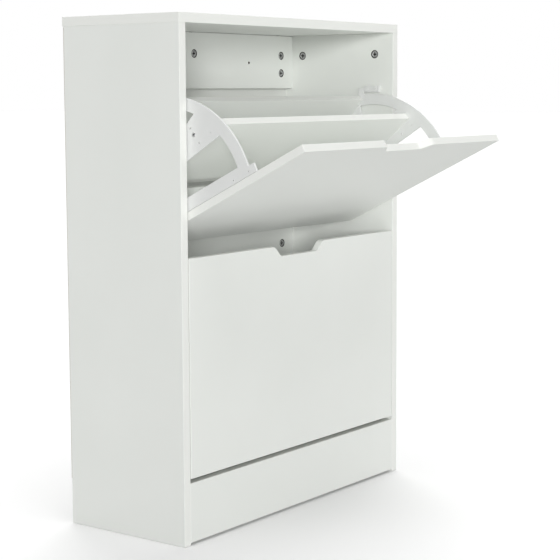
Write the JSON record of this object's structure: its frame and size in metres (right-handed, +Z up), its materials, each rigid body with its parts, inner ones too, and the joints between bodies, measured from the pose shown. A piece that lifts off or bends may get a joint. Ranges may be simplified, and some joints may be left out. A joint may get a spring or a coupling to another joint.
{
  "type": "shoe cabinet",
  "caption": "Narrow white floor-standing shoe cabinet with tilting flaps one above the other, each a door on plastic side brackets with a divided bin behind it.",
  "frame": {"origin": "on the floor, at the centre of the whole object's box with the upper flap open and the lower one closed", "axes": "+X to the right seen from the front, the front faces -Y, +Z up"},
  "size_m": [0.6, 0.456, 0.81],
  "materials": {
    "white_board": "particleboard faced and edged with satin white melamine",
    "white_hardboard": "thin hardboard painted white",
    "white_plastic": "moulded white plastic, satin",
    "grey_zinc": "die-cast zinc, dull grey",
    "bright_steel": "zinc-plated steel"
  },
  "bodies": {
    "carcass": {"left_side_panel": "white_board", "right_side_panel": "white_board", "top_panel": "white_board", "bottom_panel": "white_board", "plinth_board": "white_board", "top_back_rail": "white_board", "middle_back_rail": "white_board", "back_panel": "white_hardboard", "cam_top_rail_upper_left": "grey_zinc", "cam_top_rail_upper_centre": "grey_zinc", "cam_top_rail_upper_right": "grey_zinc", "cam_top_rail_end_left": "grey_zinc", "cam_middle_rail_left": "grey_zinc", "cam_left_side_front": "grey_zinc", "cam_left_side_rear": "grey_zinc", "cam_bottom_front_left": "grey_zinc", "cam_bottom_rear_left": "grey_zinc", "cam_top_rail_end_right": "grey_zinc", "cam_middle_rail_right": "grey_zinc", "cam_right_side_front": "grey_zinc", "cam_right_side_rear": "grey_zinc", "cam_bottom_front_right": "grey_zinc", "cam_bottom_rear_right": "grey_zinc", "cam_bolt_top_rail_upper_left": "bright_steel", "cam_bolt_top_rail_upper_centre": "bright_steel", "cam_bolt_top_rail_upper_right": "bright_steel", "cam_bolt_top_rail_end_left": "bright_steel", "cam_bolt_middle_rail_left": "bright_steel", "cam_bolt_left_side_front": "bright_steel", "cam_bolt_left_side_rear": "bright_steel", "cam_bolt_bottom_front_left": "bright_steel", "cam_bolt_bottom_rear_left": "bright_steel", "cam_bolt_top_rail_end_right": "bright_steel", "cam_bolt_middle_rail_right": "bright_steel", "cam_bolt_right_side_front": "bright_steel", "cam_bolt_right_side_rear": "bright_steel", "cam_bolt_bottom_front_right": "bright_steel", "cam_bolt_bottom_rear_right": "bright_steel", "lower_pivot_pin_left": "bright_steel", "lower_pivot_pin_right": "bright_steel", "upper_pivot_pin_left": "bright_steel", "upper_pivot_pin_right": "bright_steel", "lower_stop_block_left": "white_plastic", "lower_stop_block_right": "white_plastic", "upper_stop_block_left": "white_plastic", "upper_stop_block_right": "white_plastic"},
    "upper_flap": {"upper_door": "white_board", "upper_divider_board": "white_board", "upper_rear_board": "white_board", "upper_front_floor_board": "white_board", "upper_rear_floor_board": "white_board", "upper_bracket_left": "white_plastic", "upper_bracket_right": "white_plastic"},
    "lower_flap": {"lower_door": "white_board", "lower_divider_board": "white_board", "lower_rear_board": "white_board", "lower_front_floor_board": "white_board", "lower_rear_floor_board": "white_board", "lower_bracket_left": "white_plastic", "lower_bracket_right": "white_plastic"}
  },
  "joints": [
    {"name": "upper_flap_tilt", "type": "hinge", "parent": "carcass", "child": "upper_flap", "pos_m": [0, 0.02598, 0.524], "axis": [1, 0, 0], "range_deg": [-63.7, 0]},
    {"name": "lower_flap_tilt", "type": "hinge", "parent": "carcass", "child": "lower_flap", "pos_m": [0, 0.02598, 0.17801], "axis": [1, 0, 0], "range_deg": [0, 63.7]}
  ]
}
